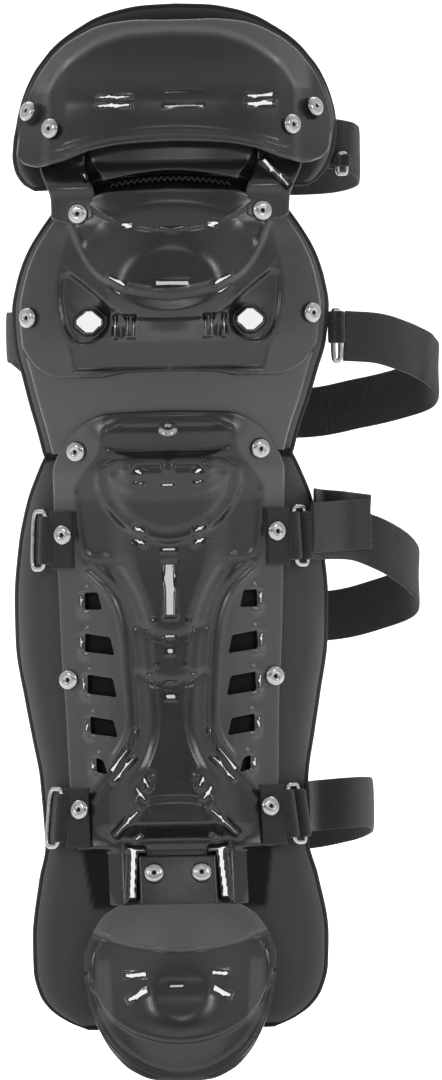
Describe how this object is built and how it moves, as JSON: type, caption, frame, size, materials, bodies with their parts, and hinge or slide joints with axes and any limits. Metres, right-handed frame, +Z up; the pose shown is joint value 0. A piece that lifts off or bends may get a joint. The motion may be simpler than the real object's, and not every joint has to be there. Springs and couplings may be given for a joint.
{
  "type": "baseball catcher leg guard",
  "caption": "Padded leg guard for a baseball catcher: thigh, knee and shin sections under moulded plastic plates, foot dome, riveted, with elastic leg straps.",
  "frame": {"origin": "the inner face of the knee pad at its middle, where the front of the wearer's knee sits", "axes": "+Z up along the leg, -Y forward out of the knee plate, +X to the side on which the straps' buckled loops stand out"},
  "size_m": [0.2193, 0.1846, 0.5365],
  "materials": {
    "gloss_plastic": "black moulded plastic, high gloss",
    "nickel": "nickel plate, polished",
    "pad_cloth": "dark grey coated cloth over foam, black bound edge",
    "soft_plastic": "black flexible plastic, low gloss",
    "webbing": "black woven elastic webbing"
  },
  "bodies": {
    "root": {"thigh_pad": "pad_cloth", "knee_pad": "pad_cloth", "shin_pad": "pad_cloth", "thigh_plate": "gloss_plastic", "thigh_tongue": "soft_plastic", "knee_link_left": "gloss_plastic", "knee_link_right": "gloss_plastic", "knee_plate": "gloss_plastic", "lower_knee_plate": "gloss_plastic", "shin_plate": "gloss_plastic", "foot_tab": "soft_plastic", "foot_plate": "gloss_plastic", "ring_tab_upper_left": "webbing", "ring_tab_upper_right": "webbing", "ring_tab_lower_left": "webbing", "ring_tab_lower_right": "webbing", "rivet_thigh_outer_left": "nickel", "rivet_thigh_outer_right": "nickel", "rivet_thigh_inner_left": "nickel", "rivet_thigh_inner_right": "nickel", "rivet_link_left": "nickel", "rivet_link_right": "nickel", "rivet_knee_left": "nickel", "rivet_knee_right": "nickel", "rivet_shin_upper_left": "nickel", "rivet_shin_upper_right": "nickel", "rivet_tab_upper_left": "nickel", "rivet_tab_upper_right": "nickel", "rivet_shin_middle_left": "nickel", "rivet_shin_middle_right": "nickel", "rivet_tab_lower_left": "nickel", "rivet_tab_lower_right": "nickel", "rivet_foot_left": "nickel", "rivet_foot_right": "nickel", "rivet_shin_top": "nickel", "ring_upper_left": "nickel", "ring_upper_right": "nickel", "ring_lower_left": "nickel", "ring_lower_right": "nickel", "keeper_knee_right": "nickel", "keeper_thigh_right": "nickel", "strap_thigh": "webbing", "strap_knee": "webbing", "strap_calf": "webbing", "strap_ankle": "webbing"}
  },
  "joints": []
}
